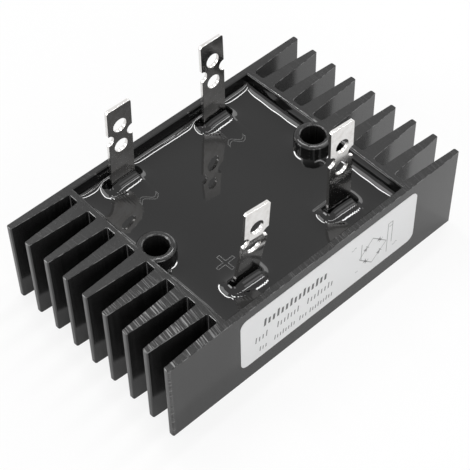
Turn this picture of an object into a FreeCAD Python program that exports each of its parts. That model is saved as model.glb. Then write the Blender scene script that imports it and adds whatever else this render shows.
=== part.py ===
import FreeCAD, Part
import math
import os

# Single-phase power bridge rectifier module, in millimetres.
# The origin is the centre of the underside. +X runs along the label and from fin tip to fin tip,
# -Y is the front with the label, and +Z is up, the way the terminals point.
#
# A finned aluminium extrusion has a pocket right through it. A plate closes the pocket from below
# and carries ceramic tiles, copper pads, diode chips and straps. Four strip terminals stand on the
# pads, and the pocket is cast full of potting compound to a little below its rim.

V = FreeCAD.Vector
X_AXIS = V(1, 0, 0)
Y_AXIS = V(0, 1, 0)
Z_AXIS = V(0, 0, 1)
OVERRUN = 5.0                 # how far a cutting tool runs past the face that it leaves

# Heat sink
SINK_LENGTH = 105.0           # X, fin tip to fin tip
SINK_DEPTH = 64.0             # Y, front face to back face
SINK_HEIGHT = 28.6            # Z
FINS_PER_END = 9
FIN_REACH = 18.7              # from the floor of the gaps to the tips
FIN_TIP = 1.85                # thickness at the tip
FIN_ROOT = 4.2                # thickness at the root
FIN_TIP_ROUND = 0.5
GAP_FLOOR_ROUND = 0.6
END_WALL = 2.0                # between the pocket and the floor of the gaps
SIDE_WALL = 2.1               # between the pocket and the front or back face
RIM_CHAMFER = 0.3             # where the pocket opens upwards

# Screw bosses, one in the middle of each end wall
SCREW_HOLE_RADIUS = 3.5       # clearance for a 6 mm screw
BOSS_WALL = 1.95
BOSS_INSET = 3.3              # from the pocket's end to the screw's axis
BOSS_SHOULDER = 0.9           # rounding of its upper edge
SCREW_HOLE_CHAMFER = 0.35

# Plate that closes the pocket from below
PLATE_THICKNESS = 3.0
PLATE_CLEARANCE = 0.05

# Ceramic tiles and copper pads, a long and a short one in each row
TILE_THICKNESS = 1.0
TILE_END_MARGIN = 2.3         # from the pocket's end walls
TILE_SIDE_MARGIN = 1.5        # from the pocket's front and back walls
TILE_BOSS_MARGIN = 1.05       # from the screw bosses
TILE_GAP = 3.0                # between the two tiles of a row
TILE_SPLIT = 0.27             # place of the gap, as a share of the way to a tile's far end
PAD_THICKNESS = 1.0
PAD_BORDER = 0.8              # bare ceramic left round a pad

# Diode chips: as long as the strap beside them allows, and as deep as the terminals' feet allow
CHIP_THICKNESS = 0.5
CHIP_BORDER = 0.5             # from the pad's edge
CHIP_TO_FOOT = 2.0            # from the rear chips to the feet of the rear terminals
CHIP_4_SHIFT = -1.2           # of chip 4 along X from its terminal's column

# Straps between chips and pads
STRAP_THICKNESS = 0.8
STRAP_WIDTH = 6.0
STRAP_MARGIN = 0.95           # on either side of a strap that lands beside a chip
STRAP_CROWN = 3.0             # height of the arch over the pads
STRAP_SLOPE = 1.6             # how far the arch leans in on its way up
STRAP_FOOT = 5.0              # length that is soldered down
SHARED_EDGE = 0.7             # bare chip outside the two feet that share a chip
SHARED_GAP = 1.8              # between those feet

# Terminals: strips with a foot, two holes and a pair of notches
TERMINAL_WIDTH = 8.0
TERMINAL_THICKNESS = 1.0
TERMINAL_FOOT = 6.0           # length of the foot beyond the strip
TERMINAL_LENGTH = 30.2        # from the potting's surface to the tip
TERMINAL_HOLE_RADIUS = 2.15   # clearance for a 4 mm screw
UPPER_HOLE_DEPTH = 6.9        # from the tip to the upper hole
HOLE_PITCH = 7.6
NOTCH_RADIUS = 1.75           # midway between the holes
TIP_CORNER = 0.5
SET_DEPTH = 3.0               # below the surface the strip is upright
LEAN_DEPTH = 0.5              # above this depth it stands at its own angle
COLUMN_INSET = 14.6           # from the end walls of the pocket to the strips' middle
REAR_ROW_INSET = 3.6          # from the back wall of the pocket to the strips' middle
FRONT_ROW_INSET = 9.2         # from the front wall
# Each strip was set by hand. Column and row say which way it lies from the middle. Then come its
# shifts along X and Y, how many degrees it leans to the right and to the front, its turn, and how
# many degrees the part above the notches is bent back
TERMINALS = {
    "terminal_ac_1": (-1, 1, -0.8, -0.05, 0.2, 2.1, -0.6, 0.0),
    "terminal_ac_2": (1, 1, -1.6, 0.05, 0.2, -0.4, 0.0, 1.0),
    "terminal_positive": (-1, -1, 0.1, -0.25, 3.2, 8.9, -2.5, 8.0),
    "terminal_negative": (1, -1, 0.4, 0.3, 1.4, -1.9, -3.0, 0.0),
}

# Potting compound
POTTING_DEPTH = 5.2           # from the rim down to the flat of the surface
MENISCUS_RADIUS = 3.0
MENISCUS_FILM = 0.3           # thickness of the compound at the top of the meniscus
MENISCUS_CORNER = 3.3         # radius in plan of the corners that it rounds
COLLAR_RADIUS = 3.1           # where the compound climbs the terminals
COLLAR_FILM = 0.35
COLLAR_CORNER = 0.5
COLLAR_SINK = 0.06            # the collar's sweep starts this far below the flat
COLLAR_BED = 1.0              # depth of its base in the compound

# Label
LABEL_LENGTH = 65.0
LABEL_HEIGHT = 19.6
LABEL_THICKNESS = 0.12
LABEL_CORNER = 2.4
LABEL_SHIFT = 3.6             # of its centre along X
LABEL_RISE = 5.9              # from the underside to its lower edge

# Places that follow from those sizes
half_length = SINK_LENGTH / 2
half_depth = SINK_DEPTH / 2
root_x = half_length - FIN_REACH
pocket_x = root_x - END_WALL
pocket_y = half_depth - SIDE_WALL
boss_x = pocket_x - BOSS_INSET
boss_radius = SCREW_HOLE_RADIUS + BOSS_WALL
level = SINK_HEIGHT - POTTING_DEPTH
hole_z = TERMINAL_LENGTH - UPPER_HOLE_DEPTH
bend_z = hole_z - HOLE_PITCH / 2
tile_z = PLATE_THICKNESS
pad_z = tile_z + TILE_THICKNESS
solder_z = pad_z + PAD_THICKNESS
chip_top = solder_z + CHIP_THICKNESS
column_x = pocket_x - COLUMN_INSET
rear_row_y = pocket_y - REAR_ROW_INSET
front_row_y = -pocket_y + FRONT_ROW_INSET
tile_end = pocket_x - TILE_END_MARGIN
tile_side = pocket_y - TILE_SIDE_MARGIN
tile_inner = boss_radius + TILE_BOSS_MARGIN
near_split = tile_end * TILE_SPLIT - TILE_GAP / 2
far_split = near_split + TILE_GAP
chip_border = PAD_BORDER + CHIP_BORDER
strap_x = far_split + PAD_BORDER + STRAP_MARGIN + STRAP_WIDTH / 2
chip_length = tile_end - chip_border - (strap_x + STRAP_WIDTH / 2 + STRAP_MARGIN)
chip_inner = tile_inner + chip_border
chip_depth = rear_row_y - TERMINAL_THICKNESS / 2 - TERMINAL_FOOT - CHIP_TO_FOOT - chip_inner
shared_foot = (chip_depth - SHARED_GAP) / 2 - SHARED_EDGE


def block(x0, x1, y0, y1, z0, z1):
    """A box between two corners."""
    return Part.makeBox(x1 - x0, y1 - y0, z1 - z0, V(x0, y0, z0))


def post(radius, x, z0, z1):
    """An upright cylinder on the line through both screw holes."""
    return Part.makeCylinder(radius, z1 - z0, V(x, 0, z0))


def upright_edges(shape, wanted):
    """The straight vertical edges whose place (x, y) is wanted."""
    found = []
    for edge in shape.Edges:
        box = edge.BoundBox
        if box.XLength < 1e-6 and box.YLength < 1e-6 and wanted(box.XMax, box.YMax):
            found.append(edge)
    return found


def fin_outline():
    """The extrusion's outline in plan: nine tapered fins on each end, outer faces flush."""
    pitch = (SINK_DEPTH - FIN_TIP) / (FINS_PER_END - 1)
    right = []
    for index in range(FINS_PER_END):
        middle = -half_depth + FIN_TIP / 2 + index * pitch
        below = max(middle - FIN_ROOT / 2, -half_depth)
        above = min(middle + FIN_ROOT / 2, half_depth)
        if index > 0:
            right.append(V(root_x, below, 0))
        right.append(V(half_length, middle - FIN_TIP / 2, 0))
        right.append(V(half_length, middle + FIN_TIP / 2, 0))
        if index < FINS_PER_END - 1:
            right.append(V(root_x, above, 0))
    left = [V(-point.x, -point.y, 0) for point in right]
    return Part.Face(Part.makePolygon(right + left + right[:1]))


def pocket_rim(shape):
    """The edges round the pocket's mouth."""
    rim = []
    for edge in shape.Edges:
        box = edge.BoundBox
        within = max(-box.XMin, box.XMax) < pocket_x + 1e-3 and max(-box.YMin, box.YMax) < pocket_y + 1e-3
        if within and box.ZMin > SINK_HEIGHT - 1e-3:
            rim.append(edge)
    return rim


def heat_sink():
    """Extrusion with fins, pocket and screw bosses, drilled and chamfered for the screws."""
    sink = fin_outline().extrude(V(0, 0, SINK_HEIGHT))
    sink = sink.makeFillet(FIN_TIP_ROUND, upright_edges(sink, lambda x, y: abs(x) > half_length - 1e-3))
    sink = sink.makeFillet(GAP_FLOOR_ROUND, upright_edges(sink, lambda x, y: abs(abs(x) - root_x) < 1e-3))
    sink = sink.cut(block(-pocket_x, pocket_x, -pocket_y, pocket_y, -OVERRUN, SINK_HEIGHT + OVERRUN))
    sink = sink.makeChamfer(RIM_CHAMFER, pocket_rim(sink))
    envelope = block(-root_x, root_x, -pocket_y, pocket_y, 0, SINK_HEIGHT)
    for x in (-boss_x, boss_x):
        boss = post(boss_radius, x, 0, SINK_HEIGHT)
        upper_edge = [edge for edge in boss.Edges if edge.BoundBox.ZMin > SINK_HEIGHT - 1e-3]
        sink = sink.fuse(boss.makeFillet(BOSS_SHOULDER, upper_edge).common(envelope))
    sink = sink.removeSplitter()
    for x in (-boss_x, boss_x):
        sink = sink.cut(post(SCREW_HOLE_RADIUS, x, -OVERRUN, SINK_HEIGHT + OVERRUN))
        wide = SCREW_HOLE_RADIUS + SCREW_HOLE_CHAMFER
        mouth = V(x, 0, SINK_HEIGHT - SCREW_HOLE_CHAMFER)
        sink = sink.cut(Part.makeCone(SCREW_HOLE_RADIUS, wide, SCREW_HOLE_CHAMFER, mouth))
    return sink


def pocket_slab(z0, z1, clearance):
    """The pocket's inside between two heights, clear of its walls and of the bosses."""
    x = pocket_x - clearance
    y = pocket_y - clearance
    slab = block(-x, x, -y, y, z0, z1)
    for side in (-boss_x, boss_x):
        slab = slab.cut(post(boss_radius + clearance, side, z0, z1))
    return slab


def base_plate():
    """Plate pressed into the pocket from below, flush with the underside."""
    return pocket_slab(0, PLATE_THICKNESS, PLATE_CLEARANCE)


# Each tile's extent along X and which row it lies in
CIRCUIT = {
    "ac_1": (-tile_end, -far_split, 1),
    "ac_2": (-near_split, tile_end, 1),
    "positive": (-tile_end, near_split, -1),
    "negative": (far_split, tile_end, -1),
}


def tile(name, border, z0, thickness):
    """A tile, or with a border the copper pad that lies on it."""
    x0, x1, row = CIRCUIT[name]
    y0, y1 = sorted((row * (tile_inner + border), row * (tile_side - border)))
    return block(x0 + border, x1 - border, y0, y1, z0, z0 + thickness)


# Each chip's centre. Chips 1 and 2 lie on the positive pad, 3 and 4 on the AC pads
chip_y = chip_inner + chip_depth / 2
CHIPS = {
    "diode_1": (-strap_x, -chip_y),
    "diode_2": (near_split - chip_border - chip_length / 2, -chip_y),
    "diode_3": (-tile_end + chip_border + chip_length / 2, chip_y),
    "diode_4": (column_x + CHIP_4_SHIFT, chip_y),
}


def chip(name):
    """A diode chip soldered flat on its pad."""
    x, y = CHIPS[name]
    half_x = chip_length / 2
    half_y = chip_depth / 2
    return block(x - half_x, x + half_x, y - half_y, y + half_y, solder_z, chip_top)


def arch(foot_a, foot_b, width):
    """Strap bent from strip: a foot, an arch and a foot.

    Each foot is given as (outer end, inner end, height) along the strap, and the arch
    stands on the two inner ends.
    """
    a_out, a_in, a_z = foot_a
    b_out, b_in, b_z = foot_b
    crown = solder_z + STRAP_CROWN
    lean = math.copysign(STRAP_SLOPE, b_in - a_in)
    path = [(a_out, a_z), (a_in, a_z), (a_in + lean, crown)]
    path += [(b_in - lean, crown), (b_in, b_z), (b_out, b_z)]
    wire = Part.makePolygon([V(0, u, z) for u, z in path])
    profile = wire.makeOffset2D(math.copysign(STRAP_THICKNESS, a_in - b_in), 0, True, True)
    strip = profile.extrude(V(width, 0, 0))
    strip.translate(V(-width / 2, 0, 0))
    return strip


def strap_from(name):
    """Strap from the top of a chip in the front row back to the pad behind it."""
    x, y = CHIPS[name]
    on_chip = (y - STRAP_FOOT / 2, y + STRAP_FOOT / 2, chip_top)
    strip = arch(on_chip, (chip_inner + STRAP_FOOT, chip_inner, solder_z), STRAP_WIDTH)
    strip.translate(V(x, 0, 0))
    return strip


def strap_negative():
    """Strap from the front half of chip 4 forward to the negative pad."""
    inner = chip_inner + SHARED_EDGE
    on_pad = (-chip_inner - STRAP_FOOT, -chip_inner, solder_z)
    strip = arch(on_pad, (inner + shared_foot, inner, chip_top), STRAP_WIDTH)
    strip.translate(V(CHIPS["diode_4"][0], 0, 0))
    return strip


def strap_bridge():
    """Strap from chip 3 to the rear half of chip 4, over the feet of the two AC straps."""
    x_from = CHIPS["diode_3"][0]
    x_to = CHIPS["diode_4"][0]
    foot_a = (x_from - STRAP_FOOT / 2, x_from + STRAP_FOOT / 2, chip_top)
    foot_b = (x_to + STRAP_FOOT / 2, x_to - STRAP_FOOT / 2, chip_top)
    strip = arch(foot_a, foot_b, shared_foot)
    strip.rotate(V(0, 0, 0), Z_AXIS, -90)
    strip.translate(V(0, chip_inner + chip_depth - SHARED_EDGE - shared_foot / 2, 0))
    return strip


def rounded_rectangle(length, depth, corner):
    """A flat rectangle with rounded corners, centred on the origin in the XY plane."""
    plate = block(-length / 2, length / 2, -depth / 2, depth / 2, 0, 1)
    if corner > 0:
        plate = plate.makeFillet(corner, upright_edges(plate, lambda x, y: True))
    return min(plate.Faces, key=lambda face: face.CenterOfMass.z)


def strip_section(z):
    """The strip's cross-section at a height."""
    x = TERMINAL_WIDTH / 2
    y = TERMINAL_THICKNESS / 2
    return Part.makePolygon([V(-x, -y, z), V(x, -y, z), V(x, y, z), V(-x, y, z), V(-x, -y, z)])


def terminal_bend(name):
    """The bend at the notches: the part above them tips about the line that the bend opens from."""
    back = TERMINALS[name][7]
    line = V(0, -math.copysign(TERMINAL_THICKNESS / 2, back), bend_z)
    return FreeCAD.Placement(V(0, 0, 0), FreeCAD.Rotation(X_AXIS, -back), line)


def blade(name):
    """The strip above the surface: two holes, clipped corners, and notches at the bend between them."""
    x = TERMINAL_WIDTH / 2
    y = TERMINAL_THICKNESS / 2
    strip = block(-x, x, -y, y, -LEAN_DEPTH, TERMINAL_LENGTH)
    tips = []
    for edge in strip.Edges:
        box = edge.BoundBox
        if box.YLength > y and box.ZMin > TERMINAL_LENGTH - 1e-3:
            tips.append(edge)
    strip = strip.makeChamfer(TIP_CORNER, tips)
    openings = [(0, hole_z, TERMINAL_HOLE_RADIUS), (0, hole_z - HOLE_PITCH, TERMINAL_HOLE_RADIUS)]
    openings += [(side, bend_z, NOTCH_RADIUS) for side in (-x, x)]
    for across, up, radius in openings:
        start = V(across, -y - OVERRUN, up)
        strip = strip.cut(Part.makeCylinder(radius, TERMINAL_THICKNESS + 2 * OVERRUN, start, Y_AXIS))
    upper = strip.common(block(-x, x, -y, y, bend_z, TERMINAL_LENGTH))
    lower = strip.common(block(-x, x, -y, y, -LEAN_DEPTH, bend_z))
    upper.Placement = terminal_bend(name)
    return lower.fuse(upper).removeSplitter()


def terminal_place(name):
    """Where a terminal's middle meets the potting's surface, and its turn about the upright."""
    column, row, shift_x, shift_y, _, _, turn, _ = TERMINALS[name]
    row_y = rear_row_y if row > 0 else front_row_y
    place = V(column * column_x + shift_x, row_y + shift_y, level)
    return FreeCAD.Placement(place, FreeCAD.Rotation(Z_AXIS, turn))


def terminal_lean(name):
    """How a terminal's strip leans about the point where it leaves the compound."""
    right, front = TERMINALS[name][4:6]
    return FreeCAD.Placement(V(0, 0, 0), FreeCAD.Rotation(Y_AXIS, right) * FreeCAD.Rotation(X_AXIS, front))


def terminal(name):
    """Foot and upright root, a short set, and the leaning strip with its holes."""
    half = TERMINAL_THICKNESS / 2
    bottom = solder_z - level
    path = [(-half - TERMINAL_FOOT, bottom), (half, bottom), (half, -SET_DEPTH)]
    wire = Part.makePolygon([V(0, u, z) for u, z in path])
    root = wire.makeOffset2D(-TERMINAL_THICKNESS, 2, True, True).extrude(V(TERMINAL_WIDTH, 0, 0))
    root.translate(V(-TERMINAL_WIDTH / 2, 0, 0))
    lean = terminal_lean(name)
    leaning = strip_section(-LEAN_DEPTH)
    leaning.Placement = lean
    bend = Part.makeLoft([strip_section(-SET_DEPTH), leaning], True, True)
    strip = blade(name)
    strip.Placement = lean
    whole = root.fuse([bend, strip]).removeSplitter()
    whole.Placement = terminal_place(name)
    return whole


def collar(name):
    """Potting compound that climbs a terminal: a concave skirt round the strip."""
    rise = COLLAR_RADIUS - COLLAR_SINK
    film_length = TERMINAL_WIDTH + 2 * COLLAR_FILM
    film_depth = TERMINAL_THICKNESS + 2 * COLLAR_FILM
    spread = 2 * (COLLAR_RADIUS + COLLAR_FILM)
    core = rounded_rectangle(film_length, film_depth, COLLAR_CORNER)
    bed = rounded_rectangle(film_length + spread, film_depth + spread, COLLAR_CORNER + COLLAR_RADIUS)
    core.translate(V(0, 0, -COLLAR_BED))
    bed.translate(V(0, 0, -COLLAR_BED))
    skirt = bed.extrude(V(0, 0, COLLAR_BED - COLLAR_SINK))
    skirt = skirt.fuse(core.extrude(V(0, 0, COLLAR_BED + rise))).removeSplitter()
    inside = []
    for edge in skirt.Edges:
        box = edge.BoundBox
        flat = box.ZLength < 1e-6 and abs(box.ZMin + COLLAR_SINK) < 1e-6
        if flat and box.XMax <= film_length / 2 + 1e-3 and box.XMin >= -film_length / 2 - 1e-3:
            if box.YMax <= film_depth / 2 + 1e-3 and box.YMin >= -film_depth / 2 - 1e-3:
                inside.append(edge)
    skirt = skirt.makeFillet(rise, inside)
    skirt.Placement = terminal_place(name)
    return skirt


def potting_compound(embedded):
    """Cast block with menisci at walls and bosses and collars at the terminals."""
    body = pocket_slab(PLATE_THICKNESS, level + MENISCUS_RADIUS, 0)
    free = pocket_slab(level, SINK_HEIGHT + OVERRUN, MENISCUS_FILM)
    free = free.makeFillet(MENISCUS_CORNER, upright_edges(free, lambda x, y: True))
    low = [edge for edge in free.Edges if edge.BoundBox.ZMax < level + 1e-3]
    free = free.makeFillet(MENISCUS_RADIUS, low)
    body = body.cut(free)
    body = body.fuse([collar(name) for name in TERMINALS])
    body = body.common(pocket_slab(PLATE_THICKNESS, SINK_HEIGHT, 0))
    return body.cut(embedded).removeSplitter()


def rating_label():
    """Adhesive label on the front face."""
    label = rounded_rectangle(LABEL_LENGTH, LABEL_HEIGHT, LABEL_CORNER).extrude(V(0, 0, LABEL_THICKNESS))
    label.rotate(V(0, 0, 0), X_AXIS, 90)
    label.translate(V(LABEL_SHIFT, -half_depth, LABEL_RISE + LABEL_HEIGHT / 2))
    return label


pieces = {"heat_sink": heat_sink(), "base_plate": base_plate()}
inside = {}
for name in CIRCUIT:
    inside["insulator_" + name] = tile(name, 0, tile_z, TILE_THICKNESS)
    inside["pad_" + name] = tile(name, PAD_BORDER, pad_z, PAD_THICKNESS)
for name in CHIPS:
    inside[name] = chip(name)
inside["strap_ac_1"] = strap_from("diode_1")
inside["strap_ac_2"] = strap_from("diode_2")
inside["strap_negative"] = strap_negative()
inside["strap_bridge"] = strap_bridge()
for name in TERMINALS:
    inside[name] = terminal(name)
pieces.update(inside)
pieces["potting_compound"] = potting_compound(list(inside.values()))
pieces["rating_label"] = rating_label()

os.makedirs("parts", exist_ok=True)
for name, shape in pieces.items():
    box = shape.BoundBox
    print("%-20s solids %d valid %s volume %9.2f  z %.2f..%.2f" % (
        name, len(shape.Solids), shape.isValid(), shape.Volume, box.ZMin, box.ZMax))
    shape.exportStep("parts/%s.step" % name)
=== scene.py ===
import math

import bmesh
import bpy
import numpy as np
from mathutils import Matrix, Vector
from mathutils.geometry import tessellate_polygon


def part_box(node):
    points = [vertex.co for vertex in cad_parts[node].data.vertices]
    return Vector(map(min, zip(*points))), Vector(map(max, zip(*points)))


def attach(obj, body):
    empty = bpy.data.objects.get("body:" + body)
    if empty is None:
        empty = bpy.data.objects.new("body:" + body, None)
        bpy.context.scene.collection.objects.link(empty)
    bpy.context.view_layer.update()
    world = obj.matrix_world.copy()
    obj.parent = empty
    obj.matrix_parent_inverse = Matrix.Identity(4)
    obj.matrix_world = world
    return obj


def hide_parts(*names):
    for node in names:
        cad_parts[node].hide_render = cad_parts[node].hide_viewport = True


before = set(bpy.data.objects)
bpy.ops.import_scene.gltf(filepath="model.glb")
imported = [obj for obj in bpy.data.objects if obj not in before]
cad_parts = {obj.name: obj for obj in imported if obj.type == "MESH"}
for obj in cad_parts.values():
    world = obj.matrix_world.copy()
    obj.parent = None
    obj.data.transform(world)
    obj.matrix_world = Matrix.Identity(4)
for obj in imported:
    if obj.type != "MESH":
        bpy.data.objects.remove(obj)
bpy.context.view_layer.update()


# Heat sink: one aluminium extrusion with nine tapered fins on each end, a pocket and two screw bosses.
# It is sawn to length at top and bottom, its edges are broken, and it is anodised black all over.
MM = 0.001
(SINK_LEFT, SINK_FRONT, SINK_BOTTOM), (SINK_RIGHT, SINK_BACK, SINK_TOP) = (
    [value / MM for value in corner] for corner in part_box("heat_sink"))
FINS_PER_END = 9
FIN_REACH = 18.7
FIN_TIP = 1.85
FIN_ROOT = 4.2
TIP_ROUND = 0.5
GAP_ROUND = 0.6
BROKEN_EDGE = 0.14
END_WALL = 2.0
SIDE_WALL = 2.1
RIM_CHAMFER = 0.3
BOSS_INSET = 3.3
BOSS_RADIUS = 5.45
BOSS_SHOULDER = 0.9
BOSS_SHOULDER_IN = 1.35
BOSS_POINTS = 65
SHOULDER_TURNS = [0.95, 1.15, 1.35, math.pi / 2]
HOLE_RADIUS = 3.5
HOLE_CHAMFER = 0.35
CREASE = math.radians(32)
ROOT_X = SINK_RIGHT - FIN_REACH
POCKET_X = ROOT_X - END_WALL
POCKET_Y = SINK_BACK - SIDE_WALL
BOSS_X = POCKET_X - BOSS_INSET


def rounded_outline(corners, radii, steps=6):
    """A closed outline whose corners become arcs.

    An arc touches both sides at radius / tan(half the corner's angle) from the corner. Its centre lies
    on the bisector at radius / sin(half the angle), and its points turn evenly from one touch to the other.
    """
    corners = np.asarray(corners, float)
    radii = np.asarray(radii, float)[:, None]
    to_last = np.roll(corners, 1, 0) - corners
    to_next = np.roll(corners, -1, 0) - corners
    to_last /= np.linalg.norm(to_last, axis=1, keepdims=True)
    to_next /= np.linalg.norm(to_next, axis=1, keepdims=True)
    half = np.arccos(np.clip((to_last * to_next).sum(1, keepdims=True), -1, 1)) / 2
    bisector = to_last + to_next
    bisector /= np.linalg.norm(bisector, axis=1, keepdims=True)
    centre = corners + bisector * radii / np.sin(half)
    first = corners + to_last * radii / np.tan(half) - centre
    last = corners + to_next * radii / np.tan(half) - centre
    turn = (math.pi - 2 * half)[:, None]
    share = np.linspace(0, 1, steps + 1)[None, :, None]
    arc = np.sin((1 - share) * turn) * first[:, None] + np.sin(share * turn) * last[:, None]
    return (centre[:, None] + arc / np.sin(turn)).reshape(-1, 2)


def moved_out(outline, distance):
    """The outline with its points moved out, all by one distance or each by its own.

    A point goes along the sum of its two sides' normals, divided by one plus their dot product.
    """
    side = np.roll(outline, -1, 0) - outline
    normal = np.stack([side[:, 1], -side[:, 0]], 1) / np.linalg.norm(side, axis=1, keepdims=True)
    before = np.roll(normal, 1, 0)
    outward = (before + normal) / (1 + (before * normal).sum(1, keepdims=True))
    return outline + np.reshape(distance, (-1, 1)) * outward


def circle(x, y, radius, count=48):
    """Points evenly spaced by angle, at one radius from a centre."""
    angle = np.linspace(0, 2 * math.pi, count, endpoint=False)
    return np.stack([x + radius * np.cos(angle), y + radius * np.sin(angle)], 1)


def at_height(outline, z):
    """A flat outline lifted to a height."""
    return np.column_stack([outline, np.full(len(outline), z)])


def band(rows, columns, start=0, closed=True):
    """Faces between neighbouring rows of a grid of points, numbered row by row from start."""
    across = columns if closed else columns - 1
    row, column = np.meshgrid(np.arange(rows - 1), np.arange(across), indexing="ij")
    after = (column + 1) % columns
    this_row = row * columns
    next_row = this_row + columns
    corners = [this_row + column, this_row + after, next_row + after, next_row + column]
    return (np.stack(corners, -1) + start).reshape(-1, 4)


def flat_cap(loops, upwards):
    """Triangles that fill a flat outline with holes. Each loop is (first index, points).

    A triangle faces up where b - a turns left into c - a, which makes their cross product positive.
    """
    index = np.concatenate([start + np.arange(len(points)) for start, points in loops])
    place = np.concatenate([points for _, points in loops])[:, :2]
    corners = np.array(tessellate_polygon([points.tolist() for _, points in loops]))
    a, b, c = place[corners].transpose(1, 0, 2)
    rising = (b - a)[:, 0] * (c - a)[:, 1] - (b - a)[:, 1] * (c - a)[:, 0] > 0
    triangles = index[corners]
    triangles[rising != upwards] = triangles[rising != upwards][:, ::-1]
    return triangles


def piece(name, points, faces, slot, finish, nodes=()):
    """A piece from points in millimetres and faces, smooth but for edges that turn by more than CREASE."""
    mesh = bpy.data.meshes.new(name)
    mesh.from_pydata((np.asarray(points) * MM).tolist(), [], [list(face) for face in faces])
    mesh.validate()
    mesh.shade_smooth()
    mesh.set_sharp_from_angle(angle=CREASE)
    made = bpy.data.objects.new(name, mesh)
    bpy.context.scene.collection.objects.link(made)
    dress(made, slot, finish, nodes)


def dress(made, slot, finish, nodes=()):
    """Gives a piece its finish, hangs it on the root body and hides the CAD nodes that it stands in for.
    The slot is not used.
    """
    made.data.materials.clear()
    made.data.materials.append(finish.material)
    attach(made, "root")
    if nodes:
        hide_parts(*nodes)


class Wire:
    """A socket in a node tree. Arithmetic on it adds Math nodes."""

    def __init__(self, tree, socket):
        self.tree = tree
        self.socket = socket

    def math(self, operation, *values):
        made = self.tree.node("ShaderNodeMath", {"operation": operation}, dict(enumerate(values)))
        return Wire(self.tree, made.outputs[0])

    def __add__(self, other):
        return self.math("ADD", self, other)

    def __sub__(self, other):
        return self.math("SUBTRACT", self, other)

    def __mul__(self, other):
        return self.math("MULTIPLY", self, other)

    def __rsub__(self, other):
        return self.math("SUBTRACT", other, self)

    def __abs__(self):
        return self.math("ABSOLUTE", self)

    def __gt__(self, other):
        return self.math("GREATER_THAN", self, other)

    def __lt__(self, other):
        return self.math("LESS_THAN", self, other)

    def power(self, exponent):
        return self.math("POWER", self, exponent)

    def or_more(self, other):
        """The larger of the two."""
        return self.math("MAXIMUM", self, other)

    def between(self, low, high, start=0.0, end=1.0):
        """Runs smoothly from start to end while this runs from low to high."""
        made = self.tree.node("ShaderNodeMapRange", {"interpolation_type": "SMOOTHSTEP"},
                              {0: self, 1: low, 2: high, 3: start, 4: end})
        return Wire(self.tree, made.outputs[0])

    __radd__ = __add__
    __rmul__ = __mul__


class Tree:
    """The node tree of a material or of the surroundings."""

    def __init__(self, owner):
        owner.use_nodes = True
        self.nodes = owner.node_tree.nodes
        self.links = owner.node_tree.links

    def node(self, kind, settings=None, inputs=None):
        """Adds a node: its settings first, then the value or link of each socket."""
        made = self.nodes.new(kind)
        for key, value in (settings or {}).items():
            setattr(made, key, value)
        for key, value in (inputs or {}).items():
            self.feed(made.inputs[key], value)
        return made

    def feed(self, socket, value):
        """Links or sets one socket."""
        if isinstance(value, Wire):
            self.links.new(value.socket, socket)
        elif isinstance(value, bpy.types.NodeSocket):
            self.links.new(value, socket)
        else:
            socket.default_value = value


class Finish(Tree):
    """A material on one Principled shader, patterned in the object's own millimetres."""

    def __init__(self, name, **constants):
        self.material = bpy.data.materials.new(name)
        super().__init__(self.material)
        self.shader = self.nodes["Principled BSDF"]
        for socket, value in constants.items():
            self.shader.inputs[socket.replace("_", " ")].default_value = value
        place = self.node("ShaderNodeTexCoord").outputs["Object"]
        scaled = self.node("ShaderNodeVectorMath", {"operation": "SCALE"}, {0: place, "Scale": 1 / MM})
        self.place = Wire(self, scaled.outputs[0])

    def split(self, vector):
        """The three parts of a vector."""
        made = self.node("ShaderNodeSeparateXYZ", None, {0: vector})
        return [Wire(self, output) for output in made.outputs]

    def join(self, x, y, z):
        """A vector from three numbers."""
        return Wire(self, self.node("ShaderNodeCombineXYZ", None, {0: x, 1: y, 2: z}).outputs[0])

    def cloud(self, scale, detail=2.0, roughness=0.5, vector=None):
        """Noise from 0 to 1, with its scale in turns per millimetre."""
        inputs = {"Vector": vector or self.place, "Scale": scale, "Detail": detail, "Roughness": roughness}
        return Wire(self, self.node("ShaderNodeTexNoise", None, inputs).outputs["Fac"])

    def blend(self, share, first, second):
        """A colour that goes from the first to the second, the Mix node's sockets 6 and 7."""
        made = self.node("ShaderNodeMix", {"data_type": "RGBA"}, {"Factor": share, 6: first, 7: second})
        return Wire(self, made.outputs[2])

    def shape(self, height, distance, strength=1.0):
        """Bump from a height, where 1 stands for that many millimetres."""
        inputs = {"Height": height, "Distance": distance * MM, "Strength": strength}
        return Wire(self, self.node("ShaderNodeBump", None, inputs).outputs[0])

    def wear(self, **sockets):
        """Feeds what changes over the surface into the shader."""
        for socket, value in sockets.items():
            self.feed(self.shader.inputs[socket.replace("_", " ")], value)


def grey(value, warm=0.0):
    """A neutral colour, a little warmer or cooler."""
    return (value * (1 + warm), value, value * (1 - warm), 1.0)


# The saw turned about a centre far to the left, and its marks are freshest on the front left fins
SAW_CENTRE_X = -229.0
SAW_CENTRE_Y = 5.0
FRESH_FROM_X = 31
FRESH_TO_X = 41
FRESH_TO_Y = 15
FRONT_WALL_Y = 28
FRONT_WALL_END = 30
SKIN = 0.02
MARGIN = 0.5
NICKED_X = 0.8
NICKED_Y = 0.3
anodised = Finish("black_anodised_aluminium", IOR=1.50)
x, y, z = anodised.split(anodised.place)
sawn = (z > SINK_TOP - SKIN) + (z < SINK_BOTTOM + SKIN)
from_saw = ((x - SAW_CENTRE_X).power(2) + (y - SAW_CENTRE_Y).power(2)).power(0.5)
saw_lines = anodised.cloud(1.1, 3.0, 0.65, anodised.join(from_saw, y * 0.03, z))
saw_ticks = anodised.cloud(2.3, 1.5, 0.6, anodised.join(from_saw, y * 0.05, 0.0))
nicks = anodised.cloud(1.3, 2.0, 0.5, anodised.join(0.0, 0.0, z)).between(0.45, 0.6)
pits = anodised.cloud(2.4, 4.0, 0.75)
die_lines = anodised.cloud(2.4, 4.0, 0.7, anodised.join(x, y, z * 0.012))
patches = anodised.cloud(0.12, 3.0)
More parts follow.
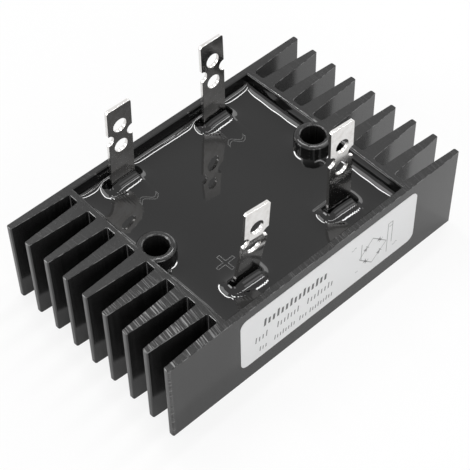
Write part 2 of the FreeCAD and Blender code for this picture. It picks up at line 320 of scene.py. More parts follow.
saw_marks = saw_lines * 0.6 + saw_ticks * 0.4
front_left = (0 - x).between(FRESH_FROM_X, FRESH_TO_X) * (0 - y).between(0, FRESH_TO_Y)
front_wall = (0 - y).between(FRONT_WALL_Y, FRONT_WALL_END)
fresh = front_left + patches.between(0.5, 0.7) * 0.10 + front_wall * 0.05
ticks = saw_ticks.between(0.50, 0.66) * (0.02 + fresh) * (0.4 + pits * 0.8)
from_screw = ((abs(x) - BOSS_X).power(2) + y.power(2)).power(0.5)
over_pocket = (abs(x) < POCKET_X + MARGIN) * (abs(y) < POCKET_Y + MARGIN)
in_pocket = over_pocket * (1 - sawn) * (from_screw > HOLE_RADIUS + MARGIN)
# The broken top edges outside the pocket are lightened in patches: partly wear, partly a painted highlight
# along the edges.
edge = (1 - sawn) * (z > SINK_TOP - 1.5 * BROKEN_EDGE) * (1 - in_pocket)
worn_and_highlit = edge * anodised.cloud(0.5, 3.0, 0.7).between(0.42, 0.62)
front_corner = (x < SINK_LEFT + NICKED_X) * (y < SINK_FRONT + NICKED_Y)
dry = 1 - in_pocket
sawn_relief = saw_marks * (0.10 + fresh * 0.4) + pits * 0.2
drawn_relief = die_lines * 0.3 + front_corner * nicks
relief = sawn * sawn_relief + (1 - sawn) * drawn_relief
sawn_tone = ticks + pits.between(0.58, 0.72) * 0.16
# The drawn faces' tone includes the painted edge highlight from the lightened top edges.
drawn_tone = 0.025 + die_lines.between(0.4, 0.8) * 0.06 + front_corner * nicks * 0.3 + worn_and_highlit * 0.5
tone = sawn * sawn_tone + (1 - sawn) * drawn_tone
anodised.wear(
    Base_Color=anodised.blend(tone * dry, grey(0.005), grey(0.26)),
    Roughness=dry * (0.03 + 0.04 * patches + 0.07 * sawn + 0.05 * die_lines) + 0.07,
    Normal=anodised.shape(relief * dry, 0.03, 0.8),
)

pitch = (SINK_BACK - SINK_FRONT - FIN_TIP) / (FINS_PER_END - 1)
middles = SINK_FRONT + FIN_TIP / 2 + pitch * np.arange(FINS_PER_END)
fin_corners = np.stack([
    np.column_stack([np.full(FINS_PER_END, ROOT_X), middles - FIN_ROOT / 2]),
    np.column_stack([np.full(FINS_PER_END, SINK_RIGHT), middles - FIN_TIP / 2]),
    np.column_stack([np.full(FINS_PER_END, SINK_RIGHT), middles + FIN_TIP / 2]),
    np.column_stack([np.full(FINS_PER_END, ROOT_X), middles + FIN_ROOT / 2]),
], 1).reshape(-1, 2)[1:-1]
fin_corners = np.concatenate([fin_corners, -fin_corners])
fin_rounds = np.where(np.abs(fin_corners[:, 0]) > ROOT_X + FIN_REACH / 2, TIP_ROUND, GAP_ROUND)
outside = rounded_outline(fin_corners, fin_rounds)

meeting = math.acos(BOSS_INSET / BOSS_RADIUS)
boss_angle = np.linspace(-meeting, meeting - 2 * math.pi, BOSS_POINTS)
boss_bump = np.stack([BOSS_X + BOSS_RADIUS * np.cos(boss_angle), BOSS_RADIUS * np.sin(boss_angle)], 1)
pocket = np.concatenate([[(POCKET_X, -POCKET_Y)], boss_bump, [(POCKET_X, POCKET_Y)]])
pocket = np.concatenate([pocket, -pocket])

outer_rings = [
    at_height(moved_out(outside, -BROKEN_EDGE), SINK_BOTTOM),
    at_height(outside, SINK_BOTTOM + BROKEN_EDGE),
    at_height(outside, SINK_TOP - BROKEN_EDGE),
    at_height(moved_out(outside, -BROKEN_EDGE), SINK_TOP),
]
on_boss = np.abs(np.hypot(np.abs(pocket[:, 0]) - BOSS_X, pocket[:, 1]) - BOSS_RADIUS) < 1e-6
pocket_rings = [at_height(pocket, SINK_BOTTOM)[::-1]]
chamfer_foot = math.asin(1 - RIM_CHAMFER / BOSS_SHOULDER)
for turned in [0, chamfer_foot / 3, chamfer_foot * 2 / 3, chamfer_foot, *SHOULDER_TURNS]:
    below_top = BOSS_SHOULDER * (1 - math.sin(turned))
    away = np.where(on_boss, BOSS_SHOULDER_IN * (1 - math.cos(turned)), max(0, RIM_CHAMFER - below_top))
    pocket_rings.append(at_height(moved_out(pocket, away), SINK_TOP - below_top)[::-1])
shells = [outer_rings, pocket_rings]
for hole_x in (-BOSS_X, BOSS_X):
    shells.append([
        at_height(circle(hole_x, 0, HOLE_RADIUS), SINK_BOTTOM)[::-1],
        at_height(circle(hole_x, 0, HOLE_RADIUS), SINK_TOP - HOLE_CHAMFER)[::-1],
        at_height(circle(hole_x, 0, HOLE_RADIUS + HOLE_CHAMFER), SINK_TOP)[::-1],
    ])
sink_points = []
sink_faces = []
floor_loops = []
top_loops = []
count = 0
for rings in shells:
    columns = len(rings[0])
    sink_points += rings
    sink_faces += band(len(rings), columns, count).tolist()
    floor_loops.append((count, rings[0]))
    top_loops.append((count + (len(rings) - 1) * columns, rings[-1]))
    count += len(rings) * columns
sink_faces += flat_cap(top_loops, True).tolist() + flat_cap(floor_loops, False).tolist()
piece("finned_heat_sink", np.concatenate(sink_points), sink_faces, "anodised_aluminium", anodised,
      nodes=["heat_sink"])


# Base plate: a milled aluminium plate pressed into the pocket from below, flush with the underside.
# It carries the tiles and takes their heat to the surface that the module is screwed to.
milled = Finish("milled_aluminium", Metallic=1.0)
x, y, z = milled.split(milled.place)
CUTTER_X = 6.0
CUTTER_Y = -70.0
sweep = ((x - CUTTER_X).power(2) + (y - CUTTER_Y).power(2)).power(0.5)
cutter_marks = milled.cloud(1.6, 3.0, 0.6, milled.join(sweep, 0.0, 0.0))
stains = milled.cloud(0.09, 4.0)
milled.wear(
    Base_Color=milled.blend(stains.between(0.35, 0.7), grey(0.66), grey(0.56, 0.02)),
    Roughness=0.26 + 0.16 * cutter_marks + 0.10 * stains,
    Normal=milled.shape(cutter_marks, 0.02, 0.6),
)
dress(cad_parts["base_plate"], "plain_aluminium", milled)


# Tiles, pads, chips and straps: alumina tiles insulate copper pads from the plate, silicon diode chips
# are soldered on the pads, and bent copper straps join chips and pads. The compound hides them all.
alumina = Finish("fired_alumina", IOR=1.76)
grain = alumina.cloud(2.5, 3.0)
smudges = alumina.cloud(0.15, 3.0)
alumina.wear(
    Base_Color=alumina.blend(smudges * grain, grey(0.84, 0.01), grey(0.74, 0.03)),
    Roughness=0.50 + 0.15 * grain,
    Normal=alumina.shape(grain, 0.01, 0.5),
)
copper = Finish("soldered_copper", Metallic=1.0)
x, y, z = copper.split(copper.place)
rolled = copper.cloud(1.4, 4.0, 0.6, copper.join(x, y * 0.06, z))
tarnish = copper.cloud(0.25, 4.0)
copper.wear(
    Base_Color=copper.blend(tarnish.between(0.4, 0.75), (0.74, 0.40, 0.26, 1), (0.42, 0.22, 0.15, 1)),
    Roughness=0.25 + 0.15 * rolled + 0.15 * tarnish,
    Normal=copper.shape(rolled, 0.01, 0.5),
)
silicon = Finish("silicon_chip", Metallic=0.4)
haze = silicon.cloud(0.7, 3.0)
silicon.wear(
    Base_Color=silicon.blend(haze, (0.10, 0.10, 0.12, 1), (0.17, 0.17, 0.19, 1)),
    Roughness=0.18 + 0.2 * haze,
    Normal=silicon.shape(haze, 0.003, 0.4),
)
CIRCUIT_FINISHES = {
    "insulator": ("alumina", alumina),
    "pad": ("copper", copper),
    "strap": ("copper", copper),
    "diode": ("silicon", silicon),
}
for name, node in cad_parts.items():
    kind = name.split("_")[0]
    if kind in CIRCUIT_FINISHES:
        dress(node, *CIRCUIT_FINISHES[kind])


# Terminals: four stamped steel strips with a bright nickel plate, each soldered on its pad by a foot
# and set a little out of true by hand. Stamping leaves their edges slightly round.
STRIP_EDGE = 0.09
EDGE_SEGMENTS = 3
SHARP_TURN = math.radians(35)
FLAT_TURN = math.radians(0.4)
SAME_POINT = 1e-7
TERMINAL_NODES = ["terminal_ac_1", "terminal_ac_2", "terminal_positive", "terminal_negative"]

nickel = Finish("bright_nickel", Metallic=1.0)
x, y, z = nickel.split(nickel.place)
drawn = nickel.cloud(3.0, 3.0, 0.6, nickel.join(x, y, z * 0.08))
handled = nickel.cloud(0.5, 4.0, 0.6)
waves = nickel.cloud(0.22, 1.0)
nickel.wear(
    Base_Color=nickel.blend(handled.between(0.35, 0.75), grey(0.78, 0.012), grey(0.66, 0.03)),
    Roughness=0.12 + 0.06 * drawn + handled.between(0.5, 0.8, 0.0, 0.08),
    Normal=nickel.shape(waves * 0.35 + drawn * 0.008, 0.10, 0.6),
)


def eased_copy(name, node, width, slot, finish):
    """A copy of a solid's mesh, its loose triangles joined into whole faces and its sharp edges rounded."""
    work = bmesh.new()
    work.from_mesh(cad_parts[node].data)
    bmesh.ops.remove_doubles(work, verts=work.verts, dist=SAME_POINT)
    bmesh.ops.dissolve_limit(work, angle_limit=FLAT_TURN, verts=work.verts, edges=work.edges)
    mesh = bpy.data.meshes.new(name)
    work.to_mesh(mesh)
    work.free()
    mesh.shade_smooth()
    made = bpy.data.objects.new(name, mesh)
    bpy.context.scene.collection.objects.link(made)
    bevel = made.modifiers.new("eased_edges", "BEVEL")
    bevel.width = width * MM
    bevel.segments = EDGE_SEGMENTS
    bevel.limit_method = "ANGLE"
    bevel.angle_limit = SHARP_TURN
    even = made.modifiers.new("even_faces", "WEIGHTED_NORMAL")
    even.weight = 100
    dress(made, slot, finish, [node])


for node in TERMINAL_NODES:
    eased_copy(node.replace("terminal", "strip"), node, STRIP_EDGE, "plated_steel", nickel)


# Potting compound: black epoxy poured into the pocket. It creeps up the walls, the bosses and the
# strips before it sets, and dries to a glossy, very slightly uneven surface.
POTTING_LEVEL = 23.4
POTTING_FLOOR = 3.0
POTTING_CREST = 26.4
POTTING_CREASE = math.radians(50)
CAPILLARY = 2.2
# Added to the distance from a wall, boss or strip: the larger, the less the compound climbs there
WALL_START = 1.13
FRONT_START = 2.6
BOSS_START = 2.75
STRIP_START = 0.04
# Waves in the wetting of the walls: their height, and their turn in radians per millimetre in x and y
WAVER = (0.012, 0.61, 0.47)
FINE_WAVER = (0.006, 1.7, -0.9)
WAVER_PHASE = 1.3
SWELL = 0.45
SWELL_LENGTH = 52.0
SWELL_SHIFT = 3.0
STRIP_WIDTH = 8.0
STRIP_THICKNESS = 1.0
# A strip's collar: how far it reaches at the strip's sides, behind it and in front of it
SIDE_REACH = 0.66
REAR_REACH = 0.9
LEFT_REACH = 0.62
MIDDLE_GAIN = 0.72
RIGHT_LOSS = 0.34
GAIN_START = -5.2
GAIN_SPAN = 4.2
LOSS_START = 2.6
LOSS_SPAN = 2.4
TOOTH_HEIGHT = 0.022
TOOTH_TURN = 8.4
TOOTH_START = 1.6
TOOTH_SPAN = 1.0
GRID_LINES = 300
CROWDING = 3.0
CROWD_X = 1.6
CROWD_Y = 1.8
# The compound's grid is finest where it bends most: at the bosses' edges and at both rows of strips
BOSS_LINES = 5.6
CROWDED_Y = [25.0, 27.5, -22.5, -19.0, -BOSS_LINES, BOSS_LINES]
DENSITY_SAMPLES = 6000
SLOPE_SAMPLES = 1500
LEAST_SLOPE = 1e-4
# Where each strip leaves the compound: x, y and its turn in degrees
STRIPS = {
    "ac_1": (-18.0, 26.25, -0.6),
    "ac_2": (15.6, 26.35, 0.0),
    "positive": (-17.1, -20.95, -2.5),
    "negative": (17.6, -20.4, -3.0),
}


def spaced(low, high, count, places, width, extra):
    """Grid lines that crowd round some places.

    Their density is 1 plus extra times a bell curve at each place, and the lines stand at equal steps of
    its running sum.
    """
    fine = np.linspace(low, high, DENSITY_SAMPLES)
    density = 1 + extra * np.exp(-((fine[:, None] - np.asarray(places)) / width) ** 2).sum(1)
    running = np.cumsum(density) - density[0]
    return np.interp(np.linspace(0, 1, count), running / running[-1], fine)


def climb(distance):
    """How high a liquid stands at a distance from a wall that it wets.

    Where its surface slopes by t, it stands 2 a sin(t / 2) high, and it is a (ln(tan(pi / 8) / tan(t / 4))
    + sqrt(2) - 2 cos(t / 2)) away from the wall, a being the liquid's capillary length.
    """
    slope = np.geomspace(math.pi / 2, LEAST_SLOPE, SLOPE_SAMPLES)
    steepness = np.log(math.tan(math.pi / 8) / np.tan(slope / 4))
    away = CAPILLARY * (steepness + math.sqrt(2) - 2 * np.cos(slope / 2))
    return np.interp(distance, away, 2 * CAPILLARY * np.sin(slope / 2))


def collar_distance(sideways, rearward):
    """A point's distance from a strip, as the compound that climbs the strip counts it.

    The gaps beside the strip and before or behind it are each divided by a reach and make a hypotenuse.
    In front the reach rises smoothly from LEFT_REACH by MIDDLE_GAIN, then falls as a square by RIGHT_LOSS.
    There, past TOOTH_START, a sine wave sideways makes small teeth, which end where the reach falls.
    """
    side_gap = np.maximum(np.abs(sideways) - STRIP_WIDTH / 2, 0)
    face_gap = np.maximum(np.abs(rearward) - STRIP_THICKNESS / 2, 0)
    gain = np.clip((sideways - GAIN_START) / GAIN_SPAN, 0, 1)
    loss = np.clip((sideways - LOSS_START) / LOSS_SPAN, 0, 1)
    front_reach = LEFT_REACH + MIDDLE_GAIN * gain ** 2 * (3 - 2 * gain) - RIGHT_LOSS * loss ** 2
    reach = np.where(rearward < 0, front_reach, REAR_REACH)
    toothed = np.clip((face_gap - TOOTH_START) / TOOTH_SPAN, 0, 1) * (1 - loss) * (rearward < 0)
    teeth = 1 + TOOTH_HEIGHT * np.sin(TOOTH_TURN * sideways) * toothed
    return np.hypot(side_gap / SIDE_REACH, face_gap / reach) * teeth


def potting_height(x, y):
    """The compound's surface: its level plus the combined climb of walls, bosses and strips.

    Climbs that overlap are combined as the root of their summed squares, up to the crest's height. The
    distance from a wall wavers by a product of two slow waves, one along each axis, and by a finer slanting
    wave. A slow swell along X lies over it all, a sine wave that dies away towards the walls as a cosine.
    """
    height, turn_x, turn_y = WAVER
    waver = 1 + height * np.sin(turn_x * x + WAVER_PHASE) * np.cos(turn_y * y)
    height, turn_x, turn_y = FINE_WAVER
    waver = waver + height * np.sin(turn_x * x + turn_y * y)
    wall_start = np.where(y > 0, WALL_START, FRONT_START)
    squares = climb((POCKET_X - np.abs(x) + WALL_START) * waver) ** 2
    squares = squares + climb((POCKET_Y - np.abs(y) + wall_start) * waver) ** 2
    for side in (-BOSS_X, BOSS_X):
        squares = squares + climb(np.hypot(x - side, y) - BOSS_RADIUS + BOSS_START) ** 2
    for strip_x, strip_y, turn in STRIPS.values():
        cosine = math.cos(math.radians(turn))
        sine = math.sin(math.radians(turn))
        sideways = (x - strip_x) * cosine + (y - strip_y) * sine
        rearward = -(x - strip_x) * sine + (y - strip_y) * cosine
        squares = squares + climb(collar_distance(sideways, rearward) + STRIP_START) ** 2
    calm = np.cos(math.pi / 2 * x / POCKET_X) * np.cos(math.pi / 2 * y / POCKET_Y)
    swell = -SWELL * np.sin(2 * math.pi * (x - SWELL_SHIFT) / SWELL_LENGTH) * calm
    return np.minimum(POTTING_LEVEL + swell + np.sqrt(squares), POTTING_CREST)


strip_end = STRIP_WIDTH / 2 + 0.5
crowded_x = [-POCKET_X, POCKET_X, -BOSS_X + BOSS_LINES, BOSS_X - BOSS_LINES]
crowded_x += [place[0] + side for place in STRIPS.values() for side in (-strip_end, strip_end)]
crowded_y = [-POCKET_Y, POCKET_Y] + CROWDED_Y
line_x = spaced(-POCKET_X, POCKET_X, GRID_LINES, crowded_x, CROWD_X, CROWDING)
line_y = spaced(-POCKET_Y, POCKET_Y, GRID_LINES, crowded_y, CROWD_Y, CROWDING)
grid_x, grid_y = np.meshgrid(line_x, line_y)
# Points inside a boss are pushed out to its edge, and cells with all four corners there are left out
in_boss = np.zeros(grid_x.shape, bool)
for side in (-BOSS_X, BOSS_X):
    away_x = grid_x - side
    away = np.hypot(away_x, grid_y)
    inside = away < BOSS_RADIUS
    push = np.where(inside, BOSS_RADIUS / np.maximum(away, 1e-6), 1)
    grid_x = side + away_x * push
    grid_y = grid_y * push
    in_boss |= inside
grid_x = np.clip(grid_x, -POCKET_X, POCKET_X)
cells = band(len(line_y), len(line_x), closed=False)
cells = cells[~in_boss.reshape(-1)[cells].all(1)]
surface = np.stack([grid_x, grid_y, potting_height(grid_x, grid_y)], -1).reshape(-1, 3)

epoxy = Finish("black_epoxy", IOR=1.48)
dust = epoxy.cloud(1.3, 5.0, 0.7)
flow = epoxy.cloud(0.05, 2.0)
specks = epoxy.cloud(3.2, 1.0, 0.5)
epoxy.wear(
    Base_Color=epoxy.blend(dust.between(0.55, 0.8), grey(0.0012), grey(0.006)),
    Roughness=0.022 + dust.between(0.5, 0.85, 0.0, 0.06) + 0.01 * flow,
    Normal=epoxy.shape(flow * 0.2 + specks.between(0.74, 0.8) * 0.05, 0.05, 0.5),
)

mesh = bpy.data.meshes.new("cast_potting")
mesh.from_pydata((surface * MM).tolist(), [], cells.tolist())
work = bmesh.new()
work.from_mesh(mesh)
bmesh.ops.delete(work, geom=[vert for vert in work.verts if not vert.link_faces], context="VERTS")
bmesh.ops.remove_doubles(work, verts=work.verts, dist=SAME_POINT)
rim = [edge for edge in work.edges if edge.is_boundary]
skirt = bmesh.ops.extrude_edge_only(work, edges=rim)["geom"]
foot = [item for item in skirt if isinstance(item, bmesh.types.BMVert)]
bmesh.ops.scale(work, vec=(1, 1, 0), verts=foot)
bmesh.ops.translate(work, vec=(0, 0, POTTING_FLOOR * MM), verts=foot)
bottom = [item for item in skirt if isinstance(item, bmesh.types.BMEdge) and item.is_boundary]
bmesh.ops.triangle_fill(work, edges=bottom, use_beauty=False)
bmesh.ops.recalc_face_normals(work, faces=work.faces)
work.to_mesh(mesh)
work.free()
mesh.shade_smooth()
mesh.set_sharp_from_angle(angle=POTTING_CREASE)
potting = bpy.data.objects.new("cast_potting", mesh)
bpy.context.scene.collection.objects.link(potting)
dress(potting, "epoxy", epoxy, ["potting_compound"])


# Polarity signs: thin raised outlines of ~, + and - that the mould leaves in the compound's surface
# beside the strips. They are of the same epoxy, a little duller.
SIGN_STROKE = 0.9
SIGN_RIB = 0.15
BAR_RIB = 0.21
BAR_ROUND = 0.95
SIGN_STEP = 0.3
SIGN_CORNER = 0.12
RIB_SIDES = 8
SIGN_RIB_HEIGHT = 0.05
PLUS_ARM = 2.9
MINUS_LENGTH = 6.2
WAVE_LENGTH = 5.6
WAVE_HEIGHT = 1.1
SIGN_PLACES = {
    "sign_ac_1": ("wave", -16.6, 17.0),
    "sign_ac_2": ("wave", 15.2, 16.6),
    "sign_positive": ("plus", -16.9, -13.6),
    "sign_negative": ("minus", 14.9, -16.7),
}


def sign_outline(kind):
    """A sign's closed outline: a cross, a bar that its own ribs fill, or a band along one sine wave."""
    half = SIGN_STROKE / 2
    if kind == "plus":
        corners = [(half, -PLUS_ARM), (half, -half), (PLUS_ARM, -half)]
        corners += [(PLUS_ARM, half), (half, half), (half, PLUS_ARM)]
        corners += [(-u, -v) for u, v in corners]
        return rounded_outline(corners, [SIGN_CORNER] * 12, 3)
    if kind == "minus":
        u = MINUS_LENGTH / 2 - BAR_RIB
        v = half - BAR_RIB
        return rounded_outline([(-u, -v), (u, -v), (u, v), (-u, v)], [BAR_ROUND * v] * 4, 3)
    u = np.linspace(-WAVE_LENGTH / 2, WAVE_LENGTH / 2, 29)
    wave = -WAVE_HEIGHT * np.sin(2 * math.pi * u / WAVE_LENGTH)
    lower = np.stack([u, wave - half], 1)
    upper = np.stack([u, wave + half], 1)[::-1]
    return np.concatenate([lower, upper])


def divided(outline, step):
    """A closed outline with each side divided into equal parts, none longer than a step."""
    closed = np.vstack([outline, outline[:1]])
    parts = np.ceil(np.linalg.norm(np.diff(closed, axis=0), axis=1) / step).astype(int)
    side = np.repeat(np.arange(len(parts)), parts)
    share = (np.arange(parts.sum()) - (np.cumsum(parts) - parts)[side]) / parts[side]
    return closed[side] + (closed[side + 1] - closed[side]) * share[:, None]


def rib(outline, half_width, height, centre_x, centre_y):
    """A low round rib along a closed outline: a flattened circle carried round it on the compound."""
    rows = []
    for angle in np.linspace(0, 2 * math.pi, RIB_SIDES, endpoint=False):
        line = moved_out(outline, half_width * math.cos(angle)) + (centre_x, centre_y)
        lift = potting_height(line[:, 0], line[:, 1]) + height * math.sin(angle)
        rows.append(np.column_stack([line, lift]))
    return np.concatenate(rows)


signs = Finish("dull_epoxy", IOR=1.5)
scuff = signs.cloud(2.0, 4.0)
signs.wear(
    Base_Color=signs.blend(scuff, grey(0.02), grey(0.06)),
    Roughness=0.30 + 0.20 * scuff,
    Normal=signs.shape(scuff, 0.01, 0.5),
)
for name, (kind, centre_x, centre_y) in SIGN_PLACES.items():
    width = BAR_RIB if kind == "minus" else SIGN_RIB
    outline = divided(sign_outline(kind), SIGN_STEP)
    points = rib(outline, width, SIGN_RIB_HEIGHT, centre_x, centre_y)
    faces = band(RIB_SIDES + 1, len(outline)) % len(points)
    piece(name, points, faces[:, ::-1], "epoxy", signs)


# Label: a silver-white film stuck on the front face. Its print is generic: three rows of plain leaning
# bars, and the drawing of a diode bridge at its right end.
LABEL_LEFT = -28.9
LABEL_RIGHT = 36.1
LABEL_LOW = 5.9
LABEL_HIGH = 25.5
LABEL_CORNER = 2.4
LABEL_FILM = 0.10
INK = 0.015
LOW_BAR = 0.74
BAR_LEAN = 0.12

film = Finish("silver_white_film", IOR=1.46)
fibre = film.cloud(6.0, 3.0)
shade = film.cloud(0.05, 2.0)
film.wear(
    Base_Color=film.blend(shade, grey(0.76, -0.004), grey(0.70, -0.004)),
    Roughness=0.38 + 0.12 * fibre,
    Normal=film.shape(fibre, 0.004, 0.5),
)
film_corners = [(LABEL_LEFT, LABEL_LOW), (LABEL_RIGHT, LABEL_LOW)]
film_corners += [(LABEL_RIGHT, LABEL_HIGH), (LABEL_LEFT, LABEL_HIGH)]
film_outline = rounded_outline(film_corners, [LABEL_CORNER] * 4, 10)


def on_front(outlines, inner, outer):
    """Plates that stand on the front face from one distance to another, one for each outline (x, z)."""
    points = []
    faces = []
    count = 0
    for outline in outlines:
        size = len(outline)
        for away in (inner, outer):
            points.append(np.column_stack([outline[:, 0], np.full(size, SINK_FRONT - away), outline[:, 1]]))
        faces += band(2, size, count).tolist()
        faces.append(list(range(count + size, count + 2 * size)))
        faces.append(list(range(count + size - 1, count - 1, -1)))
        count += 2 * size
    return np.concatenate(points), faces


piece("label_film", *on_front([film_outline], 0.0, LABEL_FILM), "label", film, nodes=["rating_label"])


def bars(left, right, low, high, width, gap):
    """A group of narrow bars between two ends.

    Every third bar is full height, the others reach LOW_BAR of it, and each leans to the right.
    """
    count = max(2, round((right - left + gap) / (width + gap)))
    starts = np.linspace(left, right - width, count)
    tops = np.where(np.arange(count) % 3 == 0, high, low + (high - low) * LOW_BAR)
    group = []
    for start, top in zip(starts, tops):
        end = start + width
        lean = (top - low) * BAR_LEAN
        group.append(np.array([(start, low), (end, low), (end + lean, top), (start + lean, top)]))
    return group


def line(start, end, width):
    """A drawn line as a thin rectangle from one point to another."""
    start, end = np.array(start), np.array(end)
    along = (end - start) / np.linalg.norm(end - start)
    across = np.array([-along[1], along[0]]) * width / 2
    return np.array([start - across, end - across, end + across, start + across])


def ink(name, tone):
    """Printing ink: a grey that is a little uneven, where the film's grain shows through."""
    made = Finish(name, IOR=1.5)
    grain = made.cloud(5.0, 3.0)
    made.wear(
        Base_Color=made.blend(grain, grey(tone), grey(tone * 1.5)),
        Roughness=0.42 + 0.15 * grain,
        Normal=made.shape(grain, 0.004, 0.5),
    )
    return made


# Each row of print: its lower and upper edge, the width of its bars and of the gaps between them, and
# where its groups of bars start and end
TITLE = (17.7, 20.6, 0.75, 0.85)
TITLE_GROUPS = [(-20.9, 1.6)]
SECOND_ROW = (12.9, 15.2, 0.36, 0.84)
SECOND_GROUPS = [(-23.9, -19.8), (-16.1, -8.5), (-5.2, 4.0)]
THIRD_ROW = (8.4, 10.2, 0.32, 0.7)
THIRD_GROUPS = [(-22.4, -20.0), (-17.1, -9.8), (-8.0, -5.5), (-4.2, 4.1)]
title = [bar for left, right in TITLE_GROUPS for bar in bars(left, right, *TITLE)]
rows = [bar for left, right in SECOND_GROUPS for bar in bars(left, right, *SECOND_ROW)]
rows += [bar for left, right in THIRD_GROUPS for bar in bars(left, right, *THIRD_ROW)]
piece("print_title", *on_front(title, LABEL_FILM, LABEL_FILM + INK), "label", ink("dark_ink", 0.075))
piece("print_rows", *on_front(rows, LABEL_FILM, LABEL_FILM + INK), "label", ink("grey_ink", 0.12))

# The bridge drawing: its four corners, the ends of its leads, and the middles of its two ~ signs
BRIDGE = np.array([(14.3, 14.6), (19.3, 19.6), (24.8, 14.2), (19.4, 9.4)])
SIDES = [(0, 1), (1, 2), (0, 3), (3, 2)]
LEADS = [
    ((15.0, 13.6), (15.0, 20.3)),
    ((25.2, 9.0), (25.2, 20.6)),
    ((26.9, 12.0), (26.9, 20.6)),
    ((25.2, 20.6), (26.9, 20.6)),
    ((25.7, 19.2), (26.9, 19.2)),
    ((13.0, 10.2), (14.0, 10.2)),
]
WAVES = [(12.0, 20.8), (28.4, 10.3)]
WAVE_HALF = 0.9
WAVE_RISE = 0.3
PEN = 0.24
DIODE = 0.85
DIODE_LENGTH = 0.8 * DIODE
drawing = [line(start, end, PEN) for start, end in LEADS]
for first, last in SIDES:
    start, end = BRIDGE[first], BRIDGE[last]
    drawing.append(line(start, end, PEN))
    along = (end - start) / np.linalg.norm(end - start)
    across = np.array([-along[1], along[0]]) * DIODE
    tip = (start + end) / 2 + along * DIODE_LENGTH
    foot = (start + end) / 2 - along * DIODE_LENGTH
    drawing.append(np.array([foot - across, tip, foot + across]))
    drawing.append(line(tip - across, tip + across, PEN))
for centre in WAVES:
    u = np.linspace(-WAVE_HALF, WAVE_HALF, 13)
    wave = np.stack([u, WAVE_RISE * np.sin(math.pi * u / WAVE_HALF)], 1) + centre
    drawing.append(np.concatenate([wave - (0, PEN / 2), wave[::-1] + (0, PEN / 2)]))
piece("print_bridge", *on_front(drawing, LABEL_FILM, LABEL_FILM + INK), "label", ink("pale_ink", 0.26))


# Room: a pale floor that the camera sees almost white, in white surroundings. Two tube lamps hang
# overhead and one at the side, with soft glows beside them, and panels stand behind and in front.
FLOOR_SIZE = 6.0
FLOOR_TONE = 0.8
FLOOR_GLOW = 0.85
FLOOR_MIRRORED = 0.45
ROOM_LIGHT = 0.30
LAMP_DISTANCE = 0.9

half = FLOOR_SIZE / 2
floor_corners = [(-half, -half, 0), (half, -half, 0), (half, half, 0), (-half, half, 0)]
floor_mesh = bpy.data.meshes.new("floor")
floor_mesh.from_pydata(floor_corners, [], [(0, 1, 2, 3)])
floor = bpy.data.objects.new("floor", floor_mesh)
bpy.context.scene.collection.objects.link(floor)
pale = bpy.data.materials.new("pale_floor")
tree = Tree(pale)
tree.nodes.clear()
rays = tree.node("ShaderNodeLightPath").outputs
mirrored = Wire(tree, rays["Is Glossy Ray"]) * FLOOR_MIRRORED
seen = Wire(tree, rays["Is Camera Ray"]).or_more(mirrored)
matt = tree.node("ShaderNodeBsdfDiffuse", None, {"Color": grey(FLOOR_TONE)})
glow = tree.node("ShaderNodeEmission", None, {"Color": grey(1.0)})
mix = tree.node("ShaderNodeMixShader", None, {0: seen * FLOOR_GLOW, 1: matt.outputs[0], 2: glow.outputs[0]})
tree.node("ShaderNodeOutputMaterial", None, {"Surface": mix.outputs[0]})
floor_mesh.materials.append(pale)

world = bpy.data.worlds.new("studio")
bpy.context.scene.world = world
tree = Tree(world)
rays = tree.node("ShaderNodeLightPath").outputs
seen = Wire(tree, rays["Is Camera Ray"]).or_more(Wire(tree, rays["Is Glossy Ray"]))
seen = seen.or_more(Wire(tree, rays["Is Transmission Ray"]))
background = tree.nodes["Background"]
tree.feed(background.inputs["Color"], grey(1.0))
tree.feed(background.inputs["Strength"], seen.between(0, 1, ROOM_LIGHT, 1.0))


def softbox(name, towards, along, length, width, radiance):
    """A flat lamp that faces the object from a direction, with its length along an axis.

    Its power is four times its radiance times its area.
    """
    lamp = bpy.data.lights.new(name, "AREA")
    lamp.shape = "RECTANGLE"
    lamp.size = length
    lamp.size_y = width
    lamp.energy = 4 * radiance * width * length
    made = bpy.data.objects.new(name, lamp)
    bpy.context.scene.collection.objects.link(made)
    outward = np.array(towards) / np.linalg.norm(towards)
    lengthwise = np.array(along) - outward * np.dot(along, outward)
    lengthwise /= np.linalg.norm(lengthwise)
    turned = Matrix(np.stack([lengthwise, np.cross(outward, lengthwise), outward], 1).tolist()).to_4x4()
    made.matrix_world = Matrix.Translation((outward * LAMP_DISTANCE).tolist()) @ turned


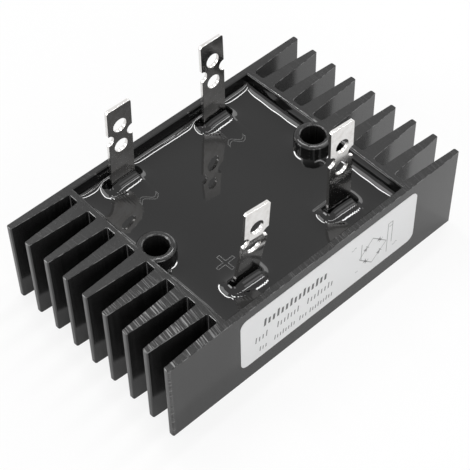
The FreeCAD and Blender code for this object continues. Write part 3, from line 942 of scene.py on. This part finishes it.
# Each lamp: its direction, the axis it lies along, its length and width in metres, and its radiance
softbox("tube_1", (0.31, 0.130, 0.935), (1, 0, 0), 0.64, 0.045, 20.0)
softbox("tube_2", (0.31, -0.130, 0.935), (1, 0, 0), 0.64, 0.036, 11.0)
softbox("tube_glow", (0.40, -0.27, 0.88), (1, 0, 0), 0.50, 0.12, 1.5)
softbox("side_tube", (0.11, 0.44, 0.885), (0, 1, 0), 0.38, 0.045, 22.0)
softbox("side_glow", (-0.06, 0.477, 0.877), (0, 1, 0), 0.30, 0.20, 2.5)
softbox("front_glow", (0.44, -0.55, 0.71), (1, 0, 0), 0.50, 0.24, 0.9)
softbox("back_left", (-0.77, 0.48, 0.43), (0, 1, 0), 0.30, 0.25, 6.0)
softbox("back_right", (0.77, 0.42, 0.48), (0, 1, 0), 0.40, 0.30, 1.8)
softbox("front_fill", (-0.35, -0.85, 0.40), (1, 0, 0), 0.60, 0.50, 2.65)


# Camera: above the front left corner, at the place that the photograph was taken from. Its distances
# are counted in hundredths of the body's length.
AZIMUTH = math.radians(-42.008)
ELEVATION = math.radians(50.07)
ROLL = math.radians(-1.28)
UNIT = 1.05 * MM
DISTANCE = 388.45 * UNIT
ASIDE = -0.93 * UNIT
RAISED = 5.55 * UNIT
PICTURE = 470
FOCAL_PIXELS = 1453.59
SENSOR_WIDTH = 36.0
back = np.array([
    math.sin(AZIMUTH) * math.cos(ELEVATION),
    -math.cos(AZIMUTH) * math.cos(ELEVATION),
    math.sin(ELEVATION),
])
level_right = np.array([math.cos(AZIMUTH), math.sin(AZIMUTH), 0.0])
level_up = np.cross(back, level_right)
right = math.cos(ROLL) * level_right + math.sin(ROLL) * level_up
upward = -math.sin(ROLL) * level_right + math.cos(ROLL) * level_up
lens = bpy.data.cameras.new("camera")
lens.sensor_width = SENSOR_WIDTH
lens.lens = SENSOR_WIDTH * FOCAL_PIXELS / PICTURE
camera = bpy.data.objects.new("camera", lens)
bpy.context.scene.collection.objects.link(camera)
place = right * ASIDE + upward * RAISED + back * DISTANCE
turned = Matrix(np.stack([right, upward, back], 1).tolist()).to_4x4()
camera.matrix_world = Matrix.Translation(place.tolist()) @ turned
bpy.context.scene.camera = camera
bpy.context.scene.view_settings.view_transform = "Standard"
